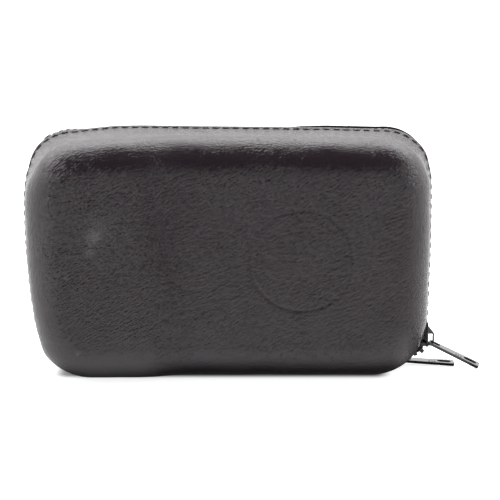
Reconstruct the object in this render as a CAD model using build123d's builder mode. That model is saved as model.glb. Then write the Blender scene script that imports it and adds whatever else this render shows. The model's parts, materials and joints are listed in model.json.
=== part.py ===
from build123d import *
from math import asin, atan, atan2, cos, hypot, radians, sin, tan
import os

# A small leather camera case that stands on its long edge. Two moulded leather shells are
# joined by a leather hinge on the left and by a zip with two sliders that runs round the top,
# the right side and the bottom. Millimetres, +Z up, the front shell faces -Y, the zip lies in
# the plane y = 0, and the origin is on the floor under the middle of the case.

# Overall size of the moulded shells
case_width = 141.5
case_height = 85.5
front_depth = 27.0  # the deep left part of the front shell
front_shallow_depth = 23.5  # the flatter right part of the front shell
rear_depth = 22.0
draft = 9.0  # degrees
step_left = -30.5  # where the front starts to fall back from its deep part
step_right = -15.5
front_edge_radius = 12.0
rear_edge_radius = 9.0
edge_margin = 0.5  # an edge this close to the front face is one of its edges

# The rims, where the shells meet the zip
rim_gap = 9.0
rim_lift = 2.5  # keeps the lower slider off the floor
rim_flare = 5.5  # how far behind the rim the shell reaches its full height
foot_cut = 0.2  # how much is cut flat under the case
rim_top_radius = 17.0
rim_hinge_radius = 18.0  # the lower corner on the hinge side
rim_zip_radius = 15.0  # the lower corner with the sliders
shell_top_radius = 18.0
shell_hinge_radius = 22.0
shell_zip_radius = 20.0

# The leather, board and lining
cover_thickness = 2.2
skived_thickness = 1.6  # the leather is pared down where the tape is sewn under it
board_thickness = 1.2
lining_thickness = 0.8
sewn_width = 7.5  # how far the tape and the hinge reach under the leather
lining_fold = 1.0  # the lining closes over the board's edge by this much
lining_turn = 0.2  # past the tape's edge

# The zip
tape_thickness = 0.6
tape_edge = 1.0  # the tape's edge stands this far from the middle of the closed chain
tooth_pitch = 2.4
tooth_thickness = 1.8
tooth_reach = 2.2  # from the middle of the chain to a tooth's back
tooth_head_reach = 0.6  # how far a head passes the middle
tooth_half_width = 0.68
tooth_waist_half_width = 0.3
tooth_head_half_width = 0.5
tooth_shoulder = 0.68  # where a tooth starts to narrow towards its waist
chain_spread = 1.3  # how far each row moves aside between the sliders
zip_end = -63.0  # the chain stops here, just short of the hinge side
tape_hinge_gap = 1.0  # the tapes run on past the stops, up to the hinge
stop_length = 2.2
stop_thickness = 2.4
stop_gap = 0.3
stop_radius = 0.27

# The hinge on the left side
hinge_thickness = 1.0
hinge_end_gap = 1.5  # from the corner roundings to the hinge's ends
bead_radius = 1.3
bead_clearance = 0.08
socket_wall = 0.7
socket_from = 240.0  # degrees, leaves the lid room to open
socket_sweep = 155.0

# The sliders
slider_length = 9.0
slider_clearance = 0.15
inner_plate_clearance = 0.3
plate_thickness = 0.7
rail_width = 0.5
channel_clearance = 0.25
open_throat = 2.6  # the rails stop this far short of the nose
nose_radius = 2.1
post_length = 3.3
post_half_width = 0.5
upper_nose_height = 7.0
lower_nose_reach = 62.4
upper_bend_radius = 2.2
lower_bend_radius = 3.0

# The crown that holds the pull tab on each slider
crown_width = 1.4
crown_thickness = 0.6
crown_radius = 0.9
crown_tail = 7.6  # from the nose foot to the tail foot
crown_slope = 3.0
bar_clearance = 0.12  # from the crown's front leg
bar_play = 0.4  # above and below the bar

# The pull tabs
tab_length = 19.6
tab_root_width = 3.6
tab_tip_width = 5.2
tab_thickness = 1.0
tab_window_length = 3.7
tab_window_width = 2.3
tab_slot_length = 4.9
tab_slot_width = 2.6
tab_end_wall = 1.1
tab_rib_height = 0.15
tab_rib_width = 0.5
tab_rib_count = 3
tab_rib_pitch = 0.95
tab_floor_gap = 0.05
upper_tab_roll = 12.0  # degrees, how far the loose upper tab leans to the front

# The belt loop on the back
loop_width = 45.0
loop_height = 58.0
loop_thickness = 1.8
loop_gap = 5.0
loop_sewn_length = 8.0
loop_rise_length = 5.0
loop_middle_height = 44.0

# Places that follow from the sizes above
half_width = case_width / 2
rim = rim_gap / 2
slope = tan(radians(draft))
sewn_end = rim + sewn_width
tape_outer = skived_thickness
tape_inner = skived_thickness + tape_thickness
lining_rim_inner = tape_inner + lining_thickness
board_inner = cover_thickness + board_thickness
lining_inner = board_inner + lining_thickness
zip_inset = skived_thickness + tape_thickness / 2
hinge_inner = skived_thickness + hinge_thickness
hinge_x = -half_width + skived_thickness + hinge_thickness / 2
hinge_low = rim_lift + rim_hinge_radius + hinge_end_gap
hinge_high = case_height - rim_top_radius - hinge_end_gap
bar_radius = tab_thickness / 2
slider_floor = -tooth_thickness / 2 - inner_plate_clearance
slider_roof = tooth_thickness / 2 + slider_clearance
slider_top = slider_roof + plate_thickness
bar_height = slider_top + bar_play + bar_radius
bar_forward = slider_length / 2 - crown_thickness - bar_clearance - bar_radius
tab_reach = tab_length - bar_radius

os.makedirs("parts", exist_ok=True)


def facing(y):
    # a plane across the case, seen from the front, with X to the right and Z up
    return Plane(origin=(0, y, 0), x_dir=(1, 0, 0), z_dir=(0, -1, 0))


def outline(y, reach, bottom, top, top_radius, hinge_radius, zip_radius):
    with BuildSketch(facing(y)) as section:
        with BuildLine():
            Polyline((-reach, bottom), (reach, bottom), (reach, top), (-reach, top), close=True)
        make_face()
        fillet(section.vertices().group_by(Axis.Y)[-1], top_radius)
        fillet(section.vertices().group_by(Axis.Y)[0].sort_by(Axis.X)[0], hinge_radius)
        fillet(section.vertices().group_by(Axis.Y)[0].sort_by(Axis.X)[-1], zip_radius)
    return section.sketch


def front_face_cutter(inset):
    # what lies in front of the front shell: its deep left part eases into the flatter right one
    deep, shallow = inset - front_depth, inset - front_shallow_depth
    run, fall = step_right - step_left, front_depth - front_shallow_depth
    bend = (run**2 + fall**2) / (4 * fall)
    turn = 2 * atan2(fall, run)
    crest, foot = bend - inset, bend + inset
    middle = (step_left + crest * sin(turn), deep + crest * (1 - cos(turn)))
    on_crest = (step_left + crest * sin(turn / 2), deep + crest * (1 - cos(turn / 2)))
    on_foot = (step_right - foot * sin(turn / 2), shallow - foot * (1 - cos(turn / 2)))
    far = 2 * case_width
    with BuildPart() as cutter:
        with BuildSketch(Plane.XY.offset(-case_height)):
            with BuildLine():
                Line((-far, deep), (step_left, deep))
                ThreePointArc((step_left, deep), on_crest, middle)
                ThreePointArc(middle, on_foot, (step_right, shallow))
                Polyline((step_right, shallow), (far, shallow), (far, -far), (-far, -far), (-far, deep))
            make_face()
        extrude(amount=3 * case_height)
    return cutter.part


def shell_body(side, inset):
    # the solid inside a shell's outer skin, drawn in by inset on every side but the rim
    depth = front_depth if side < 0 else rear_depth
    past = depth + rim_gap
    rim_radii = (rim_top_radius, rim_hinge_radius, rim_zip_radius)
    shell_radii = (shell_top_radius, shell_hinge_radius, shell_zip_radius)
    rows = [
        (rim, rim_lift, rim_radii),
        (rim + rim_flare, -foot_cut, shell_radii),
        (past, -foot_cut, shell_radii),
    ]
    sections = []
    for y, low, radii in rows:
        pull = inset + (y - rim) * slope
        radii = [radius - inset for radius in radii]
        sections.append(outline(side * y, half_width - pull, low + inset, case_height - pull, *radii))
    with BuildPart() as body:
        loft(sections, ruled=True)
        if side < 0:
            add(front_face_cutter(inset), mode=Mode.SUBTRACT)
            face_y = inset - front_shallow_depth
            far_edges = body.edges().filter_by(lambda e: e.center().Y < face_y + edge_margin)
            seams = far_edges.filter_by(Axis.Z).filter_by(lambda e: abs(e.center().X) < half_width / 2)
            fillet([e for e in far_edges if e not in seams], front_edge_radius - inset)
        else:
            split(bisect_by=facing(rear_depth - inset), keep=Keep.TOP)
            fillet(body.faces().sort_by(Axis.Y)[-1].edges(), rear_edge_radius - inset)
        split(bisect_by=Plane.XY.offset(inset), keep=Keep.TOP)
    return body.part


def stretch(solid, side, near, far):
    # the part of a solid between two distances from the zip's plane
    with BuildPart() as piece:
        add(solid)
        split(bisect_by=Plane(origin=(0, side * near, 0), z_dir=(0, side, 0)), keep=Keep.TOP)
        split(bisect_by=Plane(origin=(0, side * far, 0), z_dir=(0, -side, 0)), keep=Keep.TOP)
    return piece.part


def layer(outer, inner):
    with BuildPart() as skin:
        add(outer)
        add(inner, mode=Mode.SUBTRACT)
    return skin.part


insets = [0, tape_outer, tape_inner, hinge_inner, lining_rim_inner, board_inner, lining_inner]
bodies = {(side, inset): shell_body(side, inset) for side in (-1, 1) for inset in insets}
full_depth = {-1: front_depth, 1: rear_depth}
fold_start = sewn_end + lining_turn
fold_end = fold_start + lining_fold


def within(side, inset, near, far):
    return stretch(bodies[side, inset], side, near, far)


def cover(side):
    # pared leather at the rim, full leather behind it
    with BuildPart() as leather:
        add(bodies[side, 0])
        add(within(side, tape_outer, 0, sewn_end), mode=Mode.SUBTRACT)
        add(within(side, cover_thickness, sewn_end, full_depth[side]), mode=Mode.SUBTRACT)
    return leather.part


def board(side):
    return layer(
        within(side, cover_thickness, fold_end, full_depth[side]),
        within(side, board_inner, fold_end, full_depth[side]),
    )


def hinge_band(side):
    # the part of the hinge leather that is glued under the cover
    band = layer(within(side, tape_outer, rim, sewn_end), within(side, hinge_inner, rim, sewn_end))
    with BuildPart() as leaf:
        add(band)
        with Locations((-half_width, 0, (hinge_low + hinge_high) / 2)):
            Box(2 * rim_top_radius, 4 * sewn_end, hinge_high - hinge_low, mode=Mode.INTERSECT)
    return leaf.part


def lining(side):
    # thin over the tape, then over the board, with a fold between them that hides the board's edge
    with BuildPart() as cloth:
        add(within(side, tape_inner, rim, fold_end))
        add(within(side, board_inner, fold_end, full_depth[side]))
        add(within(side, lining_rim_inner, 0, fold_start), mode=Mode.SUBTRACT)
        add(within(side, lining_inner, fold_start, full_depth[side]), mode=Mode.SUBTRACT)
        add(hinge_band(side), mode=Mode.SUBTRACT)
    return cloth.part


# The chain's path, from the upper end of the zip round to its lower end. Between the two
# sliders, where the rows are open, it takes a short cut across the corner.
zip_right = half_width - zip_inset
zip_left = -zip_right
zip_top = case_height - zip_inset
zip_bottom = rim_lift + zip_inset
corner_top = (zip_right, upper_nose_height - upper_bend_radius / 2)
corner_bottom = (lower_nose_reach + lower_bend_radius / 2, zip_bottom)
chain_points = [
    (zip_left, hinge_high),
    (zip_left, zip_top),
    (zip_right, zip_top),
    corner_top,
    corner_bottom,
    (zip_left, zip_bottom),
    (zip_left, hinge_low),
]
top_bend = rim_top_radius - zip_inset
bottom_bend = rim_hinge_radius - zip_inset
chain_bends = [top_bend, top_bend, upper_bend_radius, lower_bend_radius, bottom_bend]
with BuildLine(facing(0)) as chain_path:
    FilletPolyline(*chain_points, radius=chain_bends)
chain_wire = chain_path.wire()
chain_length = chain_wire.length
rise = zip_top - top_bend - hinge_high
side_start = rise + top_bend * radians(180) + zip_right - zip_left - 2 * top_bend
base_end = chain_length - (hinge_low - zip_bottom - bottom_bend) - bottom_bend * radians(90)
chain_start = rise + top_bend * (radians(90) - asin((zip_left + top_bend - zip_end) / top_bend))
chain_end = base_end + bottom_bend * asin((zip_left + bottom_bend - zip_end) / bottom_bend)
upper_tail = side_start + zip_top - top_bend - upper_nose_height - slider_length
lower_tail = base_end - (lower_nose_reach - slider_length - zip_left - bottom_bend)


def chain_place(distance, aside=0):
    # X runs along the chain, Y across it and Z out of the case
    at = chain_wire.position_at(distance, position_mode=PositionMode.LENGTH)
    along = chain_wire.tangent_at(distance, position_mode=PositionMode.LENGTH)
    out = Vector(-along.Z, 0, along.X)
    return Plane(origin=at + Vector(0, aside, 0), x_dir=along, z_dir=out)


def spread_at(distance):
    # the rows part inside each slider and run apart between the two
    parted = min(distance - upper_tail, lower_tail - distance) / slider_length
    return chain_spread * max(0, min(1, parted))


def sewn_tape(side):
    # the tape lies under the pared leather and crosses to its own row of teeth
    far = 2 * case_width
    with BuildPart() as tape:
        add(layer(within(side, tape_outer, rim, sewn_end), within(side, tape_inner, rim, sewn_end)))
        with BuildSketch(facing(side * tape_edge)) as ring:
            with BuildLine():
                FilletPolyline(*chain_points, radius=chain_bends)
                Line(chain_points[-1], chain_points[0])
            make_face()
            middle = ring.faces()[0]
            offset(amount=tape_thickness / 2)
            offset(middle, amount=-tape_thickness / 2, mode=Mode.SUBTRACT)
        extrude(amount=-side * (rim - tape_edge))
        with Locations((-half_width, 0, (hinge_low + hinge_high) / 2)):
            Box(half_width, far, hinge_high - hinge_low + 2 * tape_hinge_gap, mode=Mode.SUBTRACT)
        with Locations((lower_nose_reach - slider_length / 2, 0, upper_nose_height + slider_length / 2)):
            Box(
                case_width,
                2 * (tape_edge + chain_spread),
                case_height,
                align=(Align.MIN, Align.CENTER, Align.MAX),
                mode=Mode.SUBTRACT,
            )
    return tape.part


def tooth_row(side, first):
    corners = [
        (tooth_half_width, tooth_reach),
        (tooth_half_width, tooth_shoulder),
        (tooth_waist_half_width, tooth_shoulder / 2),
        (tooth_head_half_width, -tooth_head_reach),
    ]
    points = [(x, side * y) for x, y in corners] + [(-x, side * y) for x, y in reversed(corners)]
    with BuildPart() as tooth:
        with BuildSketch():
            Polygon(*points, align=None)
        extrude(amount=tooth_thickness / 2, both=True)
    places = []
    distance = first
    while distance < chain_end - stop_length - tooth_pitch:
        places.append(Location(chain_place(distance, side * spread_at(distance))))
        distance += tooth_pitch
    with BuildPart() as row:
        with Locations(*places):
            add(tooth.part)
    return row.part


def zip_stops(side):
    across = tooth_reach - stop_gap / 2
    ends = [chain_start + stop_length / 2, chain_end - stop_length / 2]
    with BuildPart() as stops:
        with Locations(*[Location(chain_place(s, side * (stop_gap + across) / 2)) for s in ends]):
            Box(stop_length, across, stop_thickness)
            fillet(stops.edges().group_by(Edge.length)[0], stop_radius)
    return stops.part


def hinge_web(side, start):
    # the hinge leather between a rim and the hinge's middle
    with BuildPart() as web:
        with Locations((-half_width + tape_outer, side * start, hinge_low)):
            Box(
                hinge_thickness,
                rim - start,
                hinge_high - hinge_low,
                align=(Align.MIN, Align.MAX if side < 0 else Align.MIN, Align.MIN),
            )
    return web.part


def slider_body(frame):
    # X runs towards the nose, Y across the chain and Z out of the case, from the tape's middle
    tail = tooth_reach + channel_clearance
    nose = tail + chain_spread
    end = slider_length / 2
    rail_end = end - open_throat
    rail_nose = nose - chain_spread * open_throat / slider_length
    tape_side = tape_thickness / 2 + slider_clearance
    with BuildPart() as body:
        for height in (slider_roof, slider_floor - plate_thickness):
            with BuildSketch(frame.offset(height)) as plate:
                Polygon(
                    (-end, -tail - rail_width),
                    (end, -nose - rail_width),
                    (end, nose + rail_width),
                    (-end, tail + rail_width),
                    align=None,
                )
                fillet(plate.vertices().group_by(Axis.X)[-1], nose_radius)
            extrude(amount=plate_thickness)
        for low, high in ((tape_side, slider_roof), (slider_floor, -tape_side)):
            with BuildSketch(frame.offset(low)):
                for across in (-1, 1):
                    Polygon(
                        (-end, across * tail),
                        (rail_end, across * rail_nose),
                        (rail_end, across * (rail_nose + rail_width)),
                        (-end, across * (tail + rail_width)),
                        align=None,
                    )
            extrude(amount=high - low)
        with BuildSketch(frame.offset(slider_floor)):
            Polygon(
                (end - post_length, 0),
                (end - rail_width, -post_half_width),
                (end - rail_width, post_half_width),
                align=None,
            )
        extrude(amount=slider_roof - slider_floor)
    return body.part


def slider_crown(frame):
    # the bridge over the top plate, open under its front so that the tab's bar can turn there
    end = slider_length / 2
    opening = 2 * (bar_play + bar_radius)
    top = slider_top + opening + crown_thickness
    with BuildPart() as crown:
        with BuildSketch(Plane(origin=frame.origin, x_dir=frame.x_dir, z_dir=-frame.y_dir)) as profile:
            Polygon(
                (end - crown_tail, slider_top),
                (end, slider_top),
                (end, top),
                (end - crown_tail + crown_slope, top),
                align=None,
            )
            fillet(profile.vertices().group_by(Axis.Y)[-1], crown_radius)
            with Locations((end - crown_thickness, slider_top)):
                Rectangle(crown_tail / 2, opening, align=(Align.MAX, Align.MIN), mode=Mode.SUBTRACT)
        extrude(amount=crown_width / 2, both=True)
    return crown.part


def rest_angle(bar_z):
    # the tab's slope where its tip lies on the floor
    half = tab_thickness / 2
    return asin((bar_z - tab_floor_gap) / hypot(tab_reach, half)) - atan(half / tab_reach)


def pull_tab(bar_point, roll):
    # X runs from the bar to the tip, Y along the bar, and the ribs are up
    angle = rest_angle(bar_point.Z)
    bar_line = Vector(sin(radians(roll)), cos(radians(roll)), 0)
    level = Vector(bar_line.Y, -bar_line.X, 0)
    frame = Plane(
        origin=bar_point,
        x_dir=level * cos(angle) - Vector(0, 0, sin(angle)),
        z_dir=level * sin(angle) + Vector(0, 0, cos(angle)),
    )
    slot_middle = tab_reach - tab_end_wall - tab_slot_length / 2
    ribs_length = tab_rib_count * tab_rib_pitch
    ribs_middle = slot_middle - (tab_slot_length + ribs_length) / 2 - tab_rib_width
    with BuildPart() as tab:
        with BuildSketch(frame.offset(-tab_thickness / 2)) as plan:
            Polygon(
                (0, -tab_root_width / 2),
                (tab_reach, -tab_tip_width / 2),
                (tab_reach, tab_tip_width / 2),
                (0, tab_root_width / 2),
                align=None,
            )
            fillet(plan.vertices().group_by(Axis.X)[-1], tab_end_wall)
            Rectangle(tab_window_length, tab_window_width, align=(Align.MIN, Align.CENTER), mode=Mode.SUBTRACT)
            with Locations((slot_middle, 0)):
                SlotOverall(tab_slot_length, tab_slot_width, mode=Mode.SUBTRACT)
        extrude(amount=tab_thickness)
        with BuildSketch(Plane(origin=bar_point, x_dir=frame.x_dir, z_dir=bar_line)):
            Circle(bar_radius)
        extrude(amount=tab_root_width / 2, both=True)
        with BuildSketch(frame.offset(tab_thickness / 2)):
            with Locations((ribs_middle, 0)):
                with GridLocations(tab_rib_pitch, 0, tab_rib_count, 1):
                    Rectangle(tab_rib_width, tab_slot_width)
        extrude(amount=tab_rib_height)
    return tab.part


def belt_strap():
    # sewn flat to the back at both ends and standing off it between them
    half = loop_height / 2
    near = rear_depth + loop_thickness / 2
    low, high = loop_middle_height - half, loop_middle_height + half
    turn = loop_rise_length / 2
    with BuildPart() as strap:
        with BuildSketch(Plane.YZ):
            with BuildLine() as run:
                FilletPolyline(
                    (near, low),
                    (near, low + loop_sewn_length),
                    (near + loop_gap, low + loop_sewn_length + loop_rise_length),
                    (near + loop_gap, high - loop_sewn_length - loop_rise_length),
                    (near, high - loop_sewn_length),
                    (near, high),
                    radius=turn,
                )
            trace(line_width=loop_thickness)
        extrude(amount=loop_width / 2, both=True)
    return strap.part


# The rear half: the leather shell, its stiff board and its lining
with BuildPart() as rear_cover:
    add(cover(1))
rear_cover.part.label = "rear_cover"
export_step(rear_cover.part, "parts/rear_cover.step")

with BuildPart() as rear_board:
    add(board(1))
rear_board.part.label = "rear_board"
export_step(rear_board.part, "parts/rear_board.step")

with BuildPart() as rear_lining:
    add(lining(1))
rear_lining.part.label = "rear_lining"
export_step(rear_lining.part, "parts/rear_lining.step")

# The front half, with the stepped face
with BuildPart() as front_cover:
    add(cover(-1))
front_cover.part.label = "front_cover"
export_step(front_cover.part, "parts/front_cover.step")

with BuildPart() as front_board:
    add(board(-1))
front_board.part.label = "front_board"
export_step(front_board.part, "parts/front_board.step")

with BuildPart() as front_lining:
    add(lining(-1))
front_lining.part.label = "front_lining"
export_step(front_lining.part, "parts/front_lining.step")

# The zip: two tapes, two rows of teeth half a pitch apart, and a stop at each end of each row
with BuildPart() as rear_zip_tape:
    add(sewn_tape(1))
rear_zip_tape.part.label = "rear_zip_tape"
export_step(rear_zip_tape.part, "parts/rear_zip_tape.step")

with BuildPart() as front_zip_tape:
    add(sewn_tape(-1))
front_zip_tape.part.label = "front_zip_tape"
export_step(front_zip_tape.part, "parts/front_zip_tape.step")

first_tooth = chain_start + stop_length + tooth_pitch / 2
with BuildPart() as rear_zip_teeth:
    add(tooth_row(1, first_tooth))
rear_zip_teeth.part.label = "rear_zip_teeth"
export_step(rear_zip_teeth.part, "parts/rear_zip_teeth.step")

with BuildPart() as front_zip_teeth:
    add(tooth_row(-1, first_tooth + tooth_pitch / 2))
front_zip_teeth.part.label = "front_zip_teeth"
export_step(front_zip_teeth.part, "parts/front_zip_teeth.step")

with BuildPart() as rear_zip_stops:
    add(zip_stops(1))
rear_zip_stops.part.label = "rear_zip_stops"
export_step(rear_zip_stops.part, "parts/rear_zip_stops.step")

with BuildPart() as front_zip_stops:
    add(zip_stops(-1))
front_zip_stops.part.label = "front_zip_stops"
export_step(front_zip_stops.part, "parts/front_zip_stops.step")

# The leather hinge, drawn as two leaves that turn about a bead along the middle of the strip
with BuildPart() as rear_hinge_leaf:
    add(hinge_band(1))
    add(hinge_web(1, 0))
    with BuildSketch(Plane.XY.offset(hinge_low)):
        with Locations((hinge_x, 0)):
            Circle(bead_radius)
    extrude(amount=hinge_high - hinge_low)
rear_hinge_leaf.part.label = "rear_hinge_leaf"
export_step(rear_hinge_leaf.part, "parts/rear_hinge_leaf.step")

socket_radius = bead_radius + bead_clearance
with BuildPart() as front_hinge_leaf:
    add(hinge_band(-1))
    add(hinge_web(-1, bead_radius))
    with BuildSketch(Plane.XY.offset(hinge_low)):
        with BuildLine():
            inner = CenterArc((hinge_x, 0), socket_radius, socket_from, socket_sweep)
            outer = CenterArc((hinge_x, 0), socket_radius + socket_wall, socket_from, socket_sweep)
            Line(inner @ 0, outer @ 0)
            Line(inner @ 1, outer @ 1)
        make_face()
    extrude(amount=hinge_high - hinge_low)
    with BuildSketch(Plane.XY.offset(hinge_low)):
        with Locations((hinge_x, 0)):
            Circle(socket_radius)
    extrude(amount=hinge_high - hinge_low, mode=Mode.SUBTRACT)
front_hinge_leaf.part.label = "front_hinge_leaf"
export_step(front_hinge_leaf.part, "parts/front_hinge_leaf.step")

# The two sliders stand nose to nose at the lower right corner, each with its crown and pull tab
upper_middle = (zip_right, 0, upper_nose_height + slider_length / 2)
lower_middle = (lower_nose_reach - slider_length / 2, 0, zip_bottom)
upper_frame = Plane(origin=upper_middle, x_dir=(0, 0, -1), z_dir=(1, 0, 0))
lower_frame = Plane(origin=lower_middle, x_dir=(1, 0, 0), z_dir=(0, 0, -1))
upper_bar = upper_frame.from_local_coords(Vector(bar_forward, 0, bar_height))
lower_bar = lower_frame.from_local_coords(Vector(bar_forward, 0, bar_height))

with BuildPart() as upper_slider_body:
    add(slider_body(upper_frame))
upper_slider_body.part.label = "upper_slider_body"
export_step(upper_slider_body.part, "parts/upper_slider_body.step")

with BuildPart() as upper_slider_crown:
    add(slider_crown(upper_frame))
upper_slider_crown.part.label = "upper_slider_crown"
export_step(upper_slider_crown.part, "parts/upper_slider_crown.step")

with BuildPart() as upper_pull_tab:
    add(pull_tab(upper_bar, upper_tab_roll))
upper_pull_tab.part.label = "upper_pull_tab"
export_step(upper_pull_tab.part, "parts/upper_pull_tab.step")

with BuildPart() as lower_slider_body:
    add(slider_body(lower_frame))
lower_slider_body.part.label = "lower_slider_body"
export_step(lower_slider_body.part, "parts/lower_slider_body.step")

with BuildPart() as lower_slider_crown:
    add(slider_crown(lower_frame))
lower_slider_crown.part.label = "lower_slider_crown"
export_step(lower_slider_crown.part, "parts/lower_slider_crown.step")

with BuildPart() as lower_pull_tab:
    add(pull_tab(lower_bar, 0))
lower_pull_tab.part.label = "lower_pull_tab"
export_step(lower_pull_tab.part, "parts/lower_pull_tab.step")

# The loop on the back that a belt goes through
with BuildPart() as belt_loop:
    add(belt_strap())
belt_loop.part.label = "belt_loop"
export_step(belt_loop.part, "parts/belt_loop.step")
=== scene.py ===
import json
import math

import bmesh
import bpy
import numpy as np
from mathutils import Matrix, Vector, noise

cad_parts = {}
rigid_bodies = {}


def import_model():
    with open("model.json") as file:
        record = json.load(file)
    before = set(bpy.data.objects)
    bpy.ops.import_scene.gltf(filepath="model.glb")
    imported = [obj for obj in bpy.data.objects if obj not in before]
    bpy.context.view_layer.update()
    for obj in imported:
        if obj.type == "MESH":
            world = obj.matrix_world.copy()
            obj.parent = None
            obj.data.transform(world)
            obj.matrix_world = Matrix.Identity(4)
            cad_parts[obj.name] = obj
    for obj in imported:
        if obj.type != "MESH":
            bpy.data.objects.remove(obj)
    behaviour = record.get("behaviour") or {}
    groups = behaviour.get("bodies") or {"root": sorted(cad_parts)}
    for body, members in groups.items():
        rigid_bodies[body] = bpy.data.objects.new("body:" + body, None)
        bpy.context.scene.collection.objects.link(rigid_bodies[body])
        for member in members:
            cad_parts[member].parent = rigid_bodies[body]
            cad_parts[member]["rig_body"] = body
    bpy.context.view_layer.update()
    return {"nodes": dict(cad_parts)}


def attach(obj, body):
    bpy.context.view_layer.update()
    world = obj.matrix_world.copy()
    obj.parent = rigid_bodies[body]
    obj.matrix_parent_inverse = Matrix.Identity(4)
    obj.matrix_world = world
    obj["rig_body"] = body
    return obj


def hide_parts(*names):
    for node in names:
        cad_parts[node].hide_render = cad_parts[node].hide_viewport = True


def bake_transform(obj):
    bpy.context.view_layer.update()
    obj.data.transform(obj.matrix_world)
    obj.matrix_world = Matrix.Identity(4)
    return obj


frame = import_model()
print("frame loaded:", len(frame["nodes"]), "nodes")

mm = 0.001

# the camera stands low in front of the case

view = {
    "aim": (7.6, 0, 41.7),  # mm
    "distance": 600,
    "elevation": 12.0,  # degrees
    "lens": 122.9,
}


def setCamera():
    camera = bpy.data.objects.new("studioCamera", bpy.data.cameras.new("studioCamera"))
    bpy.context.scene.collection.objects.link(camera)
    tilt = math.radians(view["elevation"])
    back = Vector((0, -math.cos(tilt), math.sin(tilt)))
    camera.location = (Vector(view["aim"]) + back * view["distance"]) * mm
    camera.rotation_euler = (-back).to_track_quat("-Z", "Y").to_euler()
    camera.data.lens = view["lens"]
    bpy.context.scene.camera = camera


setCamera()
bpy.context.scene.view_settings.view_transform = "Standard"
print("camera set")

# materials


class Wire:  # one output of a node, so that shader maths reads as plain expressions
    def __init__(self, paint, socket):
        self.paint = paint
        self.socket = socket

    def sums(self, operation, first, second):
        return self.paint.node("Math", {"operation": operation}, {0: first, 1: second})

    def __add__(self, other):
        return self.sums("ADD", self, other)

    def __radd__(self, other):
        return self.sums("ADD", other, self)

    def __sub__(self, other):
        return self.sums("SUBTRACT", self, other)

    def __rsub__(self, other):
        return self.sums("SUBTRACT", other, self)

    def __mul__(self, other):
        return self.sums("MULTIPLY", self, other)

    def __rmul__(self, other):
        return self.sums("MULTIPLY", other, self)

    def __truediv__(self, other):
        return self.sums("DIVIDE", self, other)

    def __rtruediv__(self, other):
        return self.sums("DIVIDE", other, self)

    def __pow__(self, other):
        return self.sums("POWER", self, other)


class Paint:  # one material, or the world, and its nodes
    def __init__(self, name, owner=None):
        self.owner = owner or bpy.data.materials.new(name)
        self.owner.use_nodes = True
        self.tree = self.owner.node_tree
        self.tree.nodes.clear()

    def node(self, kind, settings=None, sockets=None, out=0):
        made = self.tree.nodes.new("ShaderNode" + kind)
        for key, value in (settings or {}).items():
            setattr(made, key, value)
        for key, value in (sockets or {}).items():
            if isinstance(value, Wire):
                self.tree.links.new(value.socket, made.inputs[key])
            else:
                made.inputs[key].default_value = value
        return Wire(self, made.outputs[out]) if made.outputs else None

    def place(self):  # millimetres in the object's own space
        spot = self.node("TexCoord", out="Object")
        return self.node("VectorMath", {"operation": "SCALE"}, {0: spot, "Scale": 1 / mm})

    def cloth(self):  # millimetres along and across a piece
        spot = self.node("UVMap", {"uv_map": "weave"})
        return self.node("VectorMath", {"operation": "SCALE"}, {0: spot, "Scale": 1 / mm})

    def noise(self, place, scale, detail=2.0, rough=0.5):
        sockets = {"Vector": place, "Scale": scale, "Detail": detail, "Roughness": rough}
        return self.node("TexNoise", None, sockets)

    def step(self, value, low, high, start=0.0, end=1.0):  # eases from start to end
        sockets = {0: value, 1: low, 2: high, 3: start, 4: end}
        return self.node("MapRange", {"interpolation_type": "SMOOTHSTEP"}, sockets)

    def beyond(self, value, limit):  # how far a value is past a limit, either way
        size = self.node("Math", {"operation": "ABSOLUTE"}, {0: value})
        return self.node("Math", {"operation": "MAXIMUM"}, {0: size - limit, 1: 0.0})

    def mix(self, factor, first, second):  # of two colours
        first = first if isinstance(first, Wire) else (*first, 1)
        second = second if isinstance(second, Wire) else (*second, 1)
        return self.node("Mix", {"data_type": "RGBA"}, {0: factor, 6: first, 7: second}, out=2)

    def axes(self, place):
        split = self.node("SeparateXYZ", None, {0: place}).socket.node
        return [Wire(self, output) for output in split.outputs]

    def turned(self, place, angles, sizes):  # turned back by angles, then divided by sizes
        sockets = {"Vector": place, "Rotation": [math.radians(a) for a in angles], "Scale": sizes}
        return self.node("Mapping", {"vector_type": "TEXTURE"}, sockets)

    def bump(self, height, depth, strength=1.0, under=None):  # depth in millimetres
        sockets = {"Height": height, "Distance": depth * mm, "Strength": strength}
        if under:
            sockets["Normal"] = under
        return self.node("Bump", None, sockets)

    def surface(self, **sockets):  # ends the material in one Principled shader
        words = {key.replace("_", " "): value for key, value in sockets.items()}
        shader = self.node("BsdfPrincipled", None, words)
        self.node("OutputMaterial", None, {"Surface": shader})
        return self.owner


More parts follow.
